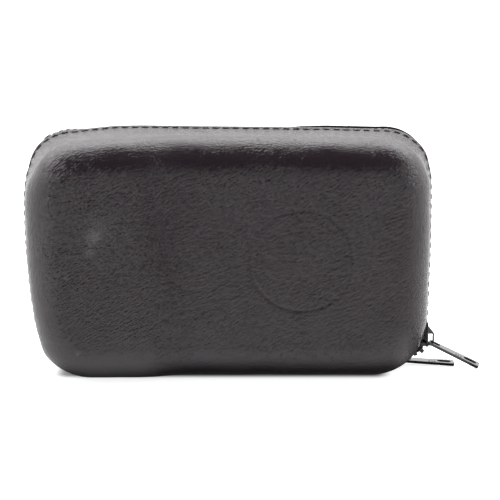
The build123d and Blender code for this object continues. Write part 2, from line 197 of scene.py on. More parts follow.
leather = {
    "colour": (0.0133, 0.0067, 0.0106),
    "faded": (0.0162, 0.0092, 0.0134),
    "fadeScale": 0.12,
    "creaseSlant": -39.0,  # degrees, the creases rise to the right
    "creaseSize": (2.7, 0.7, 0.7),  # mm
    "creaseDepth": 0.76,
    "creaseWander": 0.6,  # mm, how far they stray from straight
    "grooveWidth": 0.22,  # of a grain, between it and the next
    "grooveShare": 0.2,
    "patchScale": 0.07,
    "patchShares": (0.65, 1.1),  # of the crease depth, from patch to patch
    "topShare": 0.25,  # of the crease depth, where the leather is stretched over the top
    "topFade": (67.0, 77.5),  # Z in mm
    "lowShare": 0.42,  # of the crease depth, near the floor
    "lowFade": (16.0, 56.0),
    "poreScale": 4.2,
    "poreDepth": 0.03,
    "roughness": 0.12,
    "roughSpread": 0.14,
    "scuffColour": (0.16, 0.155, 0.16),
    "scuffStrength": 0.42,
    "scuffFade": (-10.0, -18.0),  # Y in mm, so that only the front is scuffed
    "scuffs": [  # X, Z, radius in mm, strength
        (-44.8, 51.6, 3.6, 1.0),
        (-46.2, 46.6, 2.4, 0.8),
        (-43.0, 55.0, 6.5, 0.35),
        (-59.6, 64.8, 0.8, 0.7),
        (-54.2, 37.8, 1.0, 0.6),
        (-50.9, 11.2, 1.2, 0.7),
    ],
}


def leatherPaint(name, scuffed=False, shade=1.0):
    paint = Paint(name)
    place = paint.place()
    drift = paint.noise(place, leather["fadeScale"], 3.0)
    stray = paint.node("TexNoise", None, {"Vector": place, "Scale": 0.35, "Detail": 2.0}, out="Color")
    wander = {0: stray, "Scale": leather["creaseWander"]}
    stray = paint.node("VectorMath", {"operation": "SCALE"}, wander)
    bent = paint.node("VectorMath", {"operation": "ADD"}, {0: place, 1: stray})
    slanted = paint.turned(bent, (0, leather["creaseSlant"], 0), leather["creaseSize"])
    cells = {"Vector": slanted, "Scale": 1.0, "Randomness": 1.0}
    edge = paint.node("TexVoronoi", {"feature": "DISTANCE_TO_EDGE"}, cells)
    grain = paint.step(edge, 0.0, leather["grooveWidth"])
    longCrease = paint.noise(slanted, 1.2, 2.0, 0.55)
    pores = paint.noise(place, leather["poreScale"], 3.0, 0.65)
    x, y, z = paint.axes(place)
    patches = paint.noise(place, leather["patchScale"], 2.0)
    relief = paint.step(patches, 0.32, 0.68, *leather["patchShares"])
    relief = relief * paint.step(z, *leather["topFade"], 1.0, leather["topShare"])
    relief = relief * paint.step(z, *leather["lowFade"], leather["lowShare"], 1.0)
    coarse = paint.bump((grain * leather["grooveShare"] + longCrease) * relief, leather["creaseDepth"])
    normal = paint.bump(pores, leather["poreDepth"], 0.6, coarse)
    tone = paint.mix(
        paint.step(drift, 0.35, 0.7),
        tuple(shade * c for c in leather["colour"]),
        tuple(shade * c for c in leather["faded"]),
    )
    rough = leather["roughness"] + paint.noise(place, 0.3, 3.0) * leather["roughSpread"] - grain * 0.04
    if scuffed:
        torn = paint.noise(place, 0.9, 4.0, 0.7)
        worn = None
        for atX, atZ, radius, strength in leather["scuffs"]:
            away = ((x - atX) ** 2 + (z - atZ) ** 2) ** 0.5 / radius
            spot = paint.step(away + torn * 1.5, 1.9, 0.7) * strength
            worn = spot if worn is None else worn + spot
        worn = worn * paint.step(y, *leather["scuffFade"]) * leather["scuffStrength"]
        tone = paint.mix(worn, tone, leather["scuffColour"])
        rough = rough + worn * 0.3
    return paint.surface(Base_Color=tone, Roughness=rough, Normal=normal, IOR=1.5)


threadLook = {
    "dark": (0.004, 0.004, 0.0045),
    "light": (0.012, 0.0115, 0.012),
    "twist": (9.0, 6.0),  # how fast the strands run along and around
    "depth": 0.06,
    "roughness": 0.75,
}


def threadPaint():
    paint = Paint("waxedThread")
    along, around, _ = paint.axes(paint.cloth())
    fast, slow = threadLook["twist"]
    twist = paint.node("Math", {"operation": "SINE"}, {0: along * fast + around * slow})
    tone = paint.mix(paint.step(twist, -1.0, 1.0), threadLook["dark"], threadLook["light"])
    return paint.surface(
        Base_Color=tone,
        Roughness=threadLook["roughness"],
        Normal=paint.bump(twist, threadLook["depth"]),
        Specular_IOR_Level=0.3,
    )


boardLook = {
    "dark": (0.16, 0.12, 0.085),
    "light": (0.27, 0.21, 0.15),
    "fibreSlant": 20,  # degrees
    "fibreSize": (4.0, 0.5, 0.5),  # mm
    "depth": 0.12,
    "roughness": 0.82,
}


def boardPaint():
    paint = Paint("pressedBoard")
    place = paint.place()
    slanted = paint.turned(place, (0, boardLook["fibreSlant"], 0), boardLook["fibreSize"])
    fibres = paint.noise(slanted, 1.4, 5.0, 0.7)
    specks = paint.noise(place, 2.5, 2.0)
    tone = paint.mix(paint.step(fibres, 0.3, 0.7), boardLook["dark"], boardLook["light"])
    rough = boardLook["roughness"] + specks * 0.15
    normal = paint.bump(fibres + specks, boardLook["depth"])
    return paint.surface(Base_Color=tone, Roughness=rough, Normal=normal)


liningLook = {
    "dark": (0.028, 0.028, 0.03),
    "light": (0.062, 0.061, 0.064),
    "brushSlant": 70,  # degrees
    "brushSize": (5.0, 1.2, 1.2),  # mm
    "depth": 0.14,
    "roughness": 0.9,
    "sheen": 0.35,
}


def liningPaint():
    paint = Paint("brushedLining")
    place = paint.place()
    nap = paint.noise(place, 3.0, 5.0, 0.75)
    slanted = paint.turned(place, (0, liningLook["brushSlant"], 0), liningLook["brushSize"])
    brushed = paint.noise(slanted, 0.35, 3.0)
    tone = paint.mix(paint.step(brushed + nap * 0.5, 0.45, 1.0), liningLook["dark"], liningLook["light"])
    return paint.surface(
        Base_Color=tone,
        Roughness=liningLook["roughness"] + nap * 0.08,
        Normal=paint.bump(nap + brushed * 0.6, liningLook["depth"], 0.8),
        Sheen_Weight=liningLook["sheen"],
        Sheen_Roughness=0.5,
    )


tapeLook = {
    "dark": (0.012, 0.012, 0.013),
    "light": (0.04, 0.04, 0.042),
    "herringbone": 1.6,  # mm, the width of one rib
    "ribs": (11.0, 9.0),  # how fast they run along and across
    "weft": 17.0,
    "depth": 0.09,
    "roughness": 0.72,
}


def tapePaint():
    paint = Paint("wovenTape")
    along, across, _ = paint.axes(paint.cloth())
    lean = paint.node("Math", {"operation": "PINGPONG"}, {0: across, 1: tapeLook["herringbone"]})
    ribAlong, ribAcross = tapeLook["ribs"]
    rib = paint.node("Math", {"operation": "SINE"}, {0: along * ribAlong + lean * ribAcross})
    weft = paint.node("Math", {"operation": "SINE"}, {0: across * tapeLook["weft"]})
    weave = rib * 0.7 + weft * 0.3
    rough = tapeLook["roughness"] + paint.noise(paint.cloth(), 2.0, 3.0) * 0.2
    tone = paint.mix(paint.step(weave, -1.0, 1.0), tapeLook["dark"], tapeLook["light"])
    return paint.surface(Base_Color=tone, Roughness=rough, Normal=paint.bump(weave, tapeLook["depth"]))


plasticLook = {
    "dark": (0.012, 0.012, 0.013),
    "light": (0.03, 0.03, 0.032),
    "depth": 0.02,
    "roughness": 0.3,
}


def plasticPaint(name):
    paint = Paint(name)
    place = paint.place()
    grain = paint.noise(place, 5.0, 3.0)
    rubbed = paint.noise(place, 0.5, 3.0)
    tone = paint.mix(paint.step(rubbed, 0.4, 0.7), plasticLook["dark"], plasticLook["light"])
    rough = plasticLook["roughness"] + grain * 0.2
    normal = paint.bump(grain, plasticLook["depth"])
    return paint.surface(Base_Color=tone, Roughness=rough, Normal=normal, IOR=1.5)


coatingLooks = {
    "slider": {"dark": (0.012, 0.012, 0.0125), "light": (0.024, 0.024, 0.025), "roughness": 0.12},
    "tab": {"dark": (0.012, 0.012, 0.0125), "light": (0.022, 0.022, 0.023), "roughness": 0.07},
}
coatingDepth = 0.005  # mm


def coatingPaint(name, look):  # a dark coating over die-cast metal
    paint = Paint(name)
    place = paint.place()
    cloudy = paint.noise(place, 0.45, 4.0, 0.6)
    brushed = paint.noise(paint.turned(place, (0, 0, 0), (3.0, 0.25, 0.25)), 2.0, 3.0)
    specks = paint.step(paint.noise(place, 2.2, 4.0, 0.7), 0.64, 0.76)
    tone = paint.mix(paint.step(cloudy, 0.3, 0.7), look["dark"], look["light"])
    tone = paint.mix(specks * 0.5, tone, tuple(c * 1.7 for c in look["light"]))
    rough = look["roughness"] + brushed * 0.06 + specks * 0.06
    normal = paint.bump(brushed + cloudy, coatingDepth)
    return paint.surface(Base_Color=tone, Metallic=0.0, Roughness=rough, Normal=normal, IOR=1.5)


finish = {
    "cover": leatherPaint("mouldedLeather", scuffed=True),
    "strap": leatherPaint("strapLeather", shade=0.9),
    "hinge": leatherPaint("hingeLeather", shade=0.8),
    "thread": threadPaint(),
    "board": boardPaint(),
    "lining": liningPaint(),
    "tape": tapePaint(),
    "teeth": plasticPaint("mouldedTeeth"),
    "stops": plasticPaint("mouldedStops"),
    "slider": coatingPaint("sliderMetal", coatingLooks["slider"]),
    "tab": coatingPaint("tabMetal", coatingLooks["tab"]),
}
print("materials made:", len(finish))

# mesh helpers, in millimetres


def ease(value):
    value = np.clip(value, 0, 1)
    return value * value * (3 - 2 * value)


def makeMesh(name, points, faces, paint, weave=None):
    mesh = bpy.data.meshes.new(name)
    mesh.from_pydata((np.asarray(points) * mm).tolist(), [], faces)
    bm = bmesh.new()
    bm.from_mesh(mesh)
    bmesh.ops.recalc_face_normals(bm, faces=bm.faces)
    bm.to_mesh(mesh)
    bm.free()
    mesh.polygons.foreach_set("use_smooth", [True] * len(mesh.polygons))
    if weave is not None:
        corners = np.zeros(len(mesh.loops), int)
        mesh.loops.foreach_get("vertex_index", corners)
        layer = mesh.uv_layers.new(name="weave")
        layer.data.foreach_set("uv", (np.asarray(weave)[corners] * mm).ravel())
    mesh.materials.append(paint)
    made = bpy.data.objects.new(name, mesh)
    bpy.context.scene.collection.objects.link(made)
    return made


def keep(piece, body, slot, *nodes):
    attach(piece, body)
    if nodes:
        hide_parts(*nodes)


def quads(grid, closed=False):  # faces of a grid of point numbers, closed along its second axis
    if closed:
        grid = np.concatenate([grid, grid[:, :1]], axis=1)
    corners = [grid[:-1, :-1], grid[1:, :-1], grid[1:, 1:], grid[:-1, 1:]]
    return np.stack(corners, axis=-1).reshape(-1, 4).tolist()


def slab(upper, lower):  # a closed sheet between two grids of points of the same size
    rows, columns = upper.shape[:2]
    count = rows * columns
    above = np.arange(count).reshape(rows, columns)
    below = above + count
    faces = quads(above) + quads(below)
    for rim in (np.s_[0], np.s_[-1], np.s_[:, 0], np.s_[:, -1]):
        faces += quads(np.stack([above[rim], below[rim]]))
    return np.concatenate([upper.reshape(-1, 3), lower.reshape(-1, 3)]), faces


def rounded(points, radii, step):  # a flat path with its inner corners rounded
    points = [np.array(p, float) for p in points]
    path = [points[0]]
    for before, at, after, radius in zip(points, points[1:], points[2:], radii):
        way, on = at - before, after - at
        way, on = way / np.linalg.norm(way), on / np.linalg.norm(on)
        turn = math.acos(np.clip(way @ on, -1, 1))
        cut = radius * math.tan(turn / 2)
        start, inward = at - way * cut, on - way * (way @ on)
        inward = inward / np.linalg.norm(inward)
        centre = start + inward * radius
        for angle in np.linspace(0, turn, 9):
            path.append(centre - inward * radius * math.cos(angle) + way * radius * math.sin(angle))
    path.append(points[-1])
    return resample(np.array(path), step)


def lengths(path):
    return np.concatenate([[0], np.cumsum(np.linalg.norm(np.diff(path, axis=0), axis=1))])


def resample(path, step=None, count=None):
    run = lengths(path)
    count = count or max(2, int(round(run[-1] / step)) + 1)
    at = np.linspace(0, run[-1], count)
    return np.stack([np.interp(at, run, path[:, k]) for k in range(path.shape[1])], axis=1)


# the shell's shape, as moulded; the sag comes after it

case = {
    "halfWidth": 70.75,
    "height": 85.5,
    "rim": 4.5,  # from the zip's plane to the edge of the leather
    "flare": 5.5,  # over this far the rim widens into the body
    "rimLift": 2.5,  # of the rim over the floor
    "rimRadii": (17.0, 17.0, 18.0, 15.0),  # upper right, upper left, hinge side, slider corner
    "bodyRadii": (18.0, 18.0, 22.0, 20.0),
    "slope": math.tan(math.radians(9.0)),
    "stepLeft": -32.5,  # X where the deep part ends
    "stepRight": -13.5,  # and the flatter part starts, a little softer than in the CAD
}
halves = {
    "front": {"side": -1, "depth": 27.0, "shallow": 23.5, "edge": 12.0, "puff": 0.5},
    "rear": {"side": 1, "depth": 22.0, "shallow": 22.0, "edge": 9.0, "puff": 0.3},
}
cornerSigns = np.array([(1, 1), (-1, 1), (-1, -1), (1, -1)], float)


def loopAt(stations, depth, inset):
    # X and Z of the outline at a distance from the zip, drawn in by inset
    first, second, share, angle = stations
    count = len(share)
    depth, inset = np.broadcast_to(depth, count), np.broadcast_to(inset, count)
    grown = np.sin(np.pi / 2 * np.clip((depth - case["rim"]) / case["flare"], 0, 1))
    rimRadii, bodyRadii = np.array(case["rimRadii"])[:, None], np.array(case["bodyRadii"])[:, None]
    radii = rimRadii + (bodyRadii - rimRadii) * grown - inset
    pull = inset + (depth - case["rim"]) * case["slope"]
    low = case["rimLift"] * (1 - grown) + inset
    centreX = cornerSigns[:, :1] * (case["halfWidth"] - pull - radii)
    centreZ = np.where(cornerSigns[:, 1:] > 0, case["height"] - pull - radii, low + radii)
    at = np.arange(count)
    blend = lambda values: values[first, at] * (1 - share) + values[second, at] * share
    radius = blend(radii)
    return blend(centreX) + radius * np.cos(angle), blend(centreZ) + radius * np.sin(angle)


def wallRow(stations, half, depth, inset):
    x, z = loopAt(stations, depth, inset)
    return np.stack([x, np.broadcast_to(half["side"] * depth, x.shape), z], axis=1)


def faceDepth(half, x):  # the front's deep left part eases into the flatter right part
    left, right, high, low = case["stepLeft"], case["stepRight"], half["depth"], half["shallow"]
    if high == low:
        return np.full_like(x, high)
    run, fall = right - left, high - low
    bend = (run**2 + fall**2) / (4 * fall)
    crest = high - bend + np.sqrt(bend**2 - np.clip(x - left, 0, run / 2) ** 2)
    foot = low + bend - np.sqrt(bend**2 - np.clip(right - x, 0, run / 2) ** 2)
    return np.where(x < (left + right) / 2, crest, foot)


def edgeRows(stations, half, inset, count):  # round the edge from the wall into the face
    angle = stations[3]
    nx, nz = np.cos(angle), np.sin(angle)
    lean = np.arctan(case["slope"] * (np.abs(nx) + np.maximum(nz, 0)))
    radius = half["edge"] - inset
    depth = np.full_like(angle, half["depth"]) - inset
    for _ in range(4):
        tangent = depth - radius + radius * np.sin(lean)
        x, z = loopAt(stations, tangent, inset)
        depth = faceDepth(half, x - nx * radius * np.cos(lean)) - inset
    rows = []
    for phase in np.linspace(0, 1, count + 1):
        phi = lean + (np.pi / 2 - lean) * phase
        move = radius * (np.cos(lean) - np.cos(phi))
        y = half["side"] * (depth - radius + radius * np.sin(phi))
        rows.append(np.stack([x - nx * move, y, z - nz * move], axis=1))
    return tangent, rows


def faceGrid(loop, half, inset, acrossCount, downCount):
    # fills the loop with a grid: gives the new points and the numbers of all
    n, m = acrossCount, downCount
    numbers = np.zeros((n + 1, m + 1), int)
    numbers[:, 0] = np.arange(n + 1)
    numbers[n, :] = n + np.arange(m + 1)
    numbers[:, m] = n + m + n - np.arange(n + 1)
    numbers[0, :] = (2 * n + m + m - np.arange(m + 1)) % len(loop)
    flat = loop[:, [0, 2]]
    top, bottom = flat[numbers[:, 0]], flat[numbers[:, m]]
    right, left = flat[numbers[0]], flat[numbers[n]]
    u = (lengths(top) / lengths(top)[-1] + lengths(bottom) / lengths(bottom)[-1])[:, None, None] / 2
    v = (lengths(left) / lengths(left)[-1] + lengths(right) / lengths(right)[-1])[None, :, None] / 2
    grid = (1 - v) * top[:, None] + v * bottom[:, None] + (1 - u) * right[None] + u * left[None]
    grid = grid - (1 - u) * (1 - v) * top[0] - u * (1 - v) * top[-1]
    grid = grid - (1 - u) * v * bottom[0] - u * v * bottom[-1]
    inner = grid[1:-1, 1:-1].reshape(-1, 2)
    x, z = inner.T
    low, high = flat.min(0), flat.max(0)
    away = 2 * (inner - low) / (high - low) - 1
    puff = half["puff"] * (1 - away[:, 0] ** 2) ** 2 * (1 - away[:, 1] ** 2) ** 2
    y = half["side"] * (faceDepth(half, x) - inset + puff)
    return np.stack([x, y, z], axis=1), numbers


def sideShares(start, end, fine, counts):
    # shares of the way from start to end, with more of them between the two places in fine
    marks = [start, *fine, end]
    shares = [np.linspace(a, b, c, endpoint=False) for a, b, c in zip(marks, marks[1:], counts)]
    return (np.concatenate(shares) - start) / (end - start)


def makeStations(plan):
    # once round the outline, from the middle of the upper right corner, over the top to the left
    reach = case["halfWidth"] - 2.5
    top = case["height"] - 2.5
    radii = case["bodyRadii"]
    ends = [
        (reach - radii[0], radii[1] - reach, plan.get("fineX", ())[::-1], plan["across"]),
        (top - radii[1], radii[2], plan.get("fineZ", ())[::-1], plan["down"]),
        (radii[2] - reach, reach - radii[3], plan.get("fineX", ()), plan["across"][::-1]),
        (radii[3], top - radii[0], plan.get("fineZ", ()), plan["down"][::-1]),
    ]
    parts = []
    for side, (start, end, fine, counts) in enumerate(ends):
        straight = sideShares(start, end, fine, counts)
        bend = math.radians(45 + 90 * side) + np.linspace(0, math.pi / 4, plan["bend"], endpoint=False)
        flat = math.radians(90 + 90 * side)
        here, there = side, (side + 1) % 4
        for first, second, shares, angles in (
            (here, here, 0 * bend, bend),
            (here, there, straight, 0 * straight + flat),
            (there, there, 0 * bend, bend + math.pi / 4),
        ):
            count = len(shares)
            parts.append((np.full(count, first), np.full(count, second), shares, angles))
    return tuple(np.concatenate(column) for column in zip(*parts))


def faceCounts(plan):
    return sum(plan["across"]) + 2 * plan["bend"], sum(plan["down"]) + 2 * plan["bend"]


sag = {  # mm, how the worn case differs from its mould
    "leftZ": (8.2, 13.9, 19.3, 24.7, 30.0, 35.5, 40.9, 52.0, 62.0, 67.5, 72.9, 78.2, 81.0),
    "leftIn": (0.5, 2.1, 2.3, 1.65, 1.0, 0.65, 0.25, 0.0, 0.0, 0.65, 1.3, 0.8, 0.4),
    "rightZ": (6.0, 11.0, 13.9, 19.3, 24.7, 30.0, 35.5, 41.0, 52.0, 62.0, 67.5, 73.0, 78.0),
    "rightIn": (0.0, 0.5, 1.0, 0.7, 0.5, 0.45, 0.33, 0.15, 0.1, 0.2, 0.36, 0.6, 0.0),
    "topX": (-60.0, -53.0, -46.0, -39.0, -30.0, -10.0, 8.0, 18.0, 25.0, 34.0, 52.0, 60.0),
    "frontUp": (-0.9, -0.9, -0.1, 0.6, 0.8, 0.5, 0.35, 0.2, 0.05, 0.0, -0.5, -0.3),
    "rearUp": (-2.0, -2.0, -1.5, -0.9, -0.9, -1.4, -1.5, -1.5, -0.85, -0.6, -1.0, -0.7),
    "sideFrom": 38,  # X either way, where the sides start to give
    "topFrom": 52,  # Z where the top starts to
    "reach": 26,  # and how much further until it gives in full
    "zipHalf": 3,  # the front's height turns into the rear's over the zip
}


def settle(points):
    # moves points as the leather has sagged and spread with use
    x, y, z = points.T.copy()
    left = np.interp(z, sag["leftZ"], sag["leftIn"]) * ease((-x - sag["sideFrom"]) / sag["reach"])
    right = np.interp(z, sag["rightZ"], sag["rightIn"]) * ease((x - sag["sideFrom"]) / sag["reach"])
    ahead = ease((sag["zipHalf"] - y) / (2 * sag["zipHalf"]))
    frontUp, rearUp = [np.interp(x, sag["topX"], sag[side]) for side in ("frontUp", "rearUp")]
    up = (frontUp * ahead + rearUp * (1 - ahead)) * ease((z - sag["topFrom"]) / sag["reach"])
    return np.stack([x + (left - right), y, z + up], axis=1)


def wavy(points, scale, seed):  # slow unevenness, from -1 to 1
    return np.array([noise.noise(Vector(p) / scale + Vector((seed, 0, 0))) for p in points.tolist()])


def joinShell(outer, inner, outerFace, innerFace):
    # two stacks of rows that share their first row, each closed by a grid over its last row
    count = len(outer[0])
    points = list(outer)
    stack = np.arange(len(outer) * count).reshape(len(outer), count)
    faces = quads(stack, closed=True)
    total = stack.size
    for rows, (filling, numbers), isInner in ((outer, outerFace, False), (inner, innerFace, True)):
        last = stack[-1]
        if isInner:
            numbered = np.arange(total, total + (len(rows) - 1) * count).reshape(-1, count)
            faces += quads(np.concatenate([stack[:1], numbered]), closed=True)
            points += rows[1:]
            total += numbered.size
            last = numbered[-1]
        grid = last[numbers]
        grid[1:-1, 1:-1] = np.arange(total, total + len(filling)).reshape(grid[1:-1, 1:-1].shape)
        total += len(filling)
        points.append(filling)
        faces += quads(grid)
    return np.concatenate(points), faces


# the moulded leather covers

cover = {
    "skived": 1.6,  # thickness of the pared edge
    "inner": 2.1,  # and of the rest
    "lipRadius": 0.5,
    "wallDepths": (5.3, 5.6, 5.85, 6.1, 6.35, 6.65, 7.1, 7.8, 8.6, 9.4, 10.2),
    "seamDepth": 6.05,  # from the zip's plane
    "seamSink": 0.16,
    "seamWidth": 0.45,
    "lipFlare": 0.35,  # how far the edge past the stitches stands up along the top
    "flareFrom": 70,  # Z
    "flareFade": (0.9, 8.0),  # outwards and upwards
    "unevenness": 0.16,
    "bumpsFade": (7.0, 11.0),  # from the zip's plane, from smooth to uneven
    "bumpsLean": 1.6,  # more forwards and back than sideways
    "middleHeight": 42.0,  # Z that they stand out from
    "waves": ((17.0, 3.7, 1.0), (7.0, 9.1, 0.5)),  # length, seed and share of each
    "edgeSteps": 15,
    "floorGap": 0.02,
    "ringCentre": (25.2, 42.7),
    "ringRadius": 17.4,
    "ringWidth": 0.4,
    "ringDepth": 0.3,
    "discSink": 0.1,
}
coverPlans = {  # faces each way, with more of them at the ring
    "front": {
        "fineX": (5.5, 45.0),
        "fineZ": (23.0, 62.5),
        "across": (7, 96, 44),
        "down": (5, 96, 2),
        "bend": 9,
    },
    "rear": {"across": (84,), "down": (40,), "bend": 9},
}


def makeCover(name):
    half, plan = halves[name], coverPlans[name]
    stations = makeStations(plan)
    rim, lip, skived = case["rim"], cover["lipRadius"], cover["skived"]
    outer = [wallRow(stations, half, rim, skived), wallRow(stations, half, rim, lip)]
    for degrees in (25, 50, 75, 90):
        turn = math.radians(degrees)
        depth, inset = rim + lip * (1 - math.cos(turn)), lip * (1 - math.sin(turn))
        outer.append(wallRow(stations, half, depth, inset))
    outer += [wallRow(stations, half, depth, 0) for depth in cover["wallDepths"]]
    tangent, edge = edgeRows(stations, half, 0, cover["edgeSteps"])
    last = cover["wallDepths"][-1]
    outer += [wallRow(stations, half, last + (tangent - last) * share, 0) for share in (0.3, 0.65)]
    outer += edge
    inner = [outer[0], wallRow(stations, half, 8.0, skived)]
    tangent, edge = edgeRows(stations, half, cover["inner"], 6)
    inner.append(wallRow(stations, half, np.minimum(11.6, tangent - 0.6), skived))
    inner.append(wallRow(stations, half, np.minimum(12.0, tangent - 0.3), cover["inner"]))
    inner += edge
    counts = faceCounts(plan)
    faces = [faceGrid(outer[-1], half, 0, *counts), faceGrid(inner[-1], half, cover["inner"], *counts)]
    points, polygons = joinShell(outer, inner, *faces)
    shown = len(outer) * len(stations[0]) + len(faces[0][0])  # the outer points come first
    skin = points[:shown]
    if name == "front":
        ringX, ringZ = cover["ringCentre"]
        away = np.hypot(skin[:, 0] - ringX, skin[:, 2] - ringZ)
        groove = (away - cover["ringRadius"]) / cover["ringWidth"]
        pressed = cover["ringDepth"] * np.exp(-(groove**2))
        pressed += cover["discSink"] * ease((cover["ringRadius"] - away) / 2 + 0.5)
        onFace = skin[:, 1] < -half["shallow"] + 3
        skin[:, 1] += np.where(onFace, pressed, 0)
    outward = skin - np.array([0, 0, cover["middleHeight"]])
    outward[:, 1] *= cover["bumpsLean"]
    outward /= np.linalg.norm(outward, axis=1)[:, None]
    fromZip = np.abs(skin[:, 1])
    groove = (fromZip - cover["seamDepth"]) / cover["seamWidth"]
    sunk = cover["seamSink"] * np.exp(-(groove**2))
    bumps = sum(share * wavy(skin, length, seed) for length, seed, share in cover["waves"])
    smooth, uneven = cover["bumpsFade"]
    bumps = cover["unevenness"] * bumps * ease((fromZip - smooth) / (uneven - smooth))
    skin = skin + outward * (bumps - sunk)[:, None]
    outFade, upFade = cover["flareFade"]
    past = ease((cover["seamDepth"] - 0.2 - np.abs(skin[:, 1])) / outFade)
    skin[:, 2] += cover["lipFlare"] * past * ease((skin[:, 2] - cover["flareFrom"]) / upFade)
    points[:shown] = skin
    points[:, 2] = np.maximum(points[:, 2], cover["floorGap"])
    piece = makeMesh(name + "CoverLeather", settle(points), polygons, finish["cover"])
    keep(piece, name + "_half", "case_leather", name + "_cover")


for name in halves:
    makeCover(name)
print("covers made")

# the board and the lining inside them

inside = {
    "boardOuter": 2.25,
    "boardInner": 3.4,
    "liningUnder": 3.45,
    "liningInner": 4.2,
    "tapeInner": 2.25,
    "hingeInner": 2.65,
    "rimInner": 3.0,
    "fold": 12.2,
    "boardStart": 13.0,
    "hingeSpan": (20.5, 68.5),
}
innerPlan = {"across": (58,), "down": (26,), "bend": 7}


def layerRows(stations, half, starts, inset, steps):
    # rows at the starts (pairs of depth and inset), then round the edge at inset
    tangent, edge = edgeRows(stations, half, inset, steps)
    rows = []
    for i, (depth, startInset) in enumerate(starts):
        limit = tangent - 0.3 * (len(starts) - i)
        rows.append(wallRow(stations, half, np.minimum(depth, limit), startInset))
    return rows + edge


def makeInside(name):
    half = halves[name]
    stations = makeStations(innerPlan)
    counts = faceCounts(innerPlan)
    start = inside["boardStart"]
    over, under = inside["boardOuter"], inside["boardInner"]
    outer = layerRows(stations, half, [(start, under), (start, over)], over, 5)
    inner = [outer[0]] + layerRows(stations, half, [], under, 5)
    faces = [faceGrid(outer[-1], half, over, *counts), faceGrid(inner[-1], half, under, *counts)]
    points, polygons = joinShell(outer, inner, *faces)
    board = makeMesh(name + "StiffBoard", settle(points), polygons, finish["board"])
    keep(board, name + "_half", "leather_board", name + "_board")

    rim, fold, rimInner = case["rim"], inside["fold"], inside["rimInner"]
    x, z = loopAt(stations, rim, 0)
    low, high = inside["hingeSpan"]
    byHinge = (x < -60) & (z > low) & (z < high)
    under = np.where(byHinge, inside["hingeInner"], inside["tapeInner"])
    over, within = inside["liningUnder"], inside["liningInner"]
    starts = [(rim + 0.1, rimInner - 0.15), (rim, under + 0.1), (rim + 0.2, under)]
    starts += [(fold, under), (fold + 0.8, over)]
    outer = layerRows(stations, half, starts, over, 5)
    starts = [(rim + 0.4, rimInner), (8.0, rimInner), (fold - 0.7, rimInner)]
    starts += [(fold - 0.1, rimInner + 0.35), (fold + 0.6, within - 0.2)]
    inner = [outer[0]] + layerRows(stations, half, starts, within, 8)
    faces = [faceGrid(outer[-1], half, over, *counts), faceGrid(inner[-1], half, within, *counts)]
    points, polygons = joinShell(outer, inner, *faces)
    lining = makeMesh(name + "ClothLining", settle(points), polygons, finish["lining"])
    keep(lining, name + "_half", "lining_cloth", name + "_lining")


for name in halves:
    makeInside(name)
print("boards and linings made")

# stitches

seam = {
    "pitch": 3.45,
    "length": 2.7,
    "radius": 0.22,
    "rise": 0.16,  # of the middle over the leather
    "dive": 0.28,  # of the ends into it
    "taper": 0.75,
    "thinnest": 0.2,
    "sides": 6,
    "rings": 7,
}


def stitch(path, normals, pitch):
    # short bowed threads along a path, as one mesh
    run = lengths(path)
    count = int(round(run[-1] / pitch))
    pitch = run[-1] / count
    points, faces, weave = [], [], []
    pick = lambda values, at: np.stack([np.interp(at, run, values[:, k]) for k in range(3)], axis=1)
    for i in range(count):
        share = np.linspace(-1, 1, seam["rings"])
        at = (i + 0.5) * pitch + share * seam["length"] / 2
        centre, out = pick(path, at), pick(normals, at)
        out /= np.linalg.norm(out, axis=1)[:, None]
        way = pick(path, at + 0.1) - pick(path, at - 0.1)
        way /= np.linalg.norm(way, axis=1)[:, None]
        aside = np.cross(way, out)
        centre += out * (seam["rise"] - seam["dive"] * share**4)[:, None]
        size = seam["radius"] * np.sqrt(np.maximum(1 - seam["taper"] * share**6, seam["thinnest"]))
        around = np.arange(seam["sides"]) * 2 * np.pi / seam["sides"]
        cos, sin = np.cos(around)[:, None], np.sin(around)[:, None]
        ring = centre[:, None] + size[:, None, None] * (out[:, None] * cos + aside[:, None] * sin)
        base = sum(len(p) for p in points)
        numbers = base + np.arange(seam["rings"] * seam["sides"]).reshape(ring.shape[:2])
        faces += quads(numbers, closed=True) + [numbers[0].tolist(), numbers[-1].tolist()]
        points.append(ring.reshape(-1, 3))
        weave.append(np.stack(np.broadcast_arrays(at[:, None], around[None]), axis=-1).reshape(-1, 2))
    return np.concatenate(points), faces, np.concatenate(weave)


def makeSeam(name):
    half = halves[name]
    stations = makeStations({"across": (60,), "down": (30,), "bend": 12})
    row = wallRow(stations, half, cover["seamDepth"], cover["seamSink"])
    row = np.concatenate([row, row[:1]])
    angle = np.concatenate([stations[3], stations[3][:1]])
    normals = np.stack([np.cos(angle), 0 * angle - 0.1 * half["side"], np.sin(angle)], axis=1)
    points, faces, weave = stitch(settle(row), normals, seam["pitch"])
    piece = makeMesh(name + "RimStitches", points, faces, finish["thread"], weave)
    keep(piece, name + "_half", "zip_tape")


for name in halves:
    makeSeam(name)
print("rim stitches made")

# the zip's tapes

tape = {
    "inset": 1.9,
    "thickness": 0.56,
    "edge": 1.0,
    "under": 7.6,  # how far from the zip's plane it reaches under the leather
    "spread": 1.3,
    "upperSlider": (7.0, 16.0),  # Z of its nose and tail
    "lowerSlider": (62.4, 53.4),  # X of its nose and tail
    "ends": (68.0, 21.0),  # Z where it stops on the hinge side
    "teethFrom": -63.0,
    "cornerWay": [(68.85, 17.5), (68.85, 5.9), (63.9, 4.4), (55.75, 4.4)],
    "cornerBends": (2.2, 3.0),
    "cornerRows": 24,
}


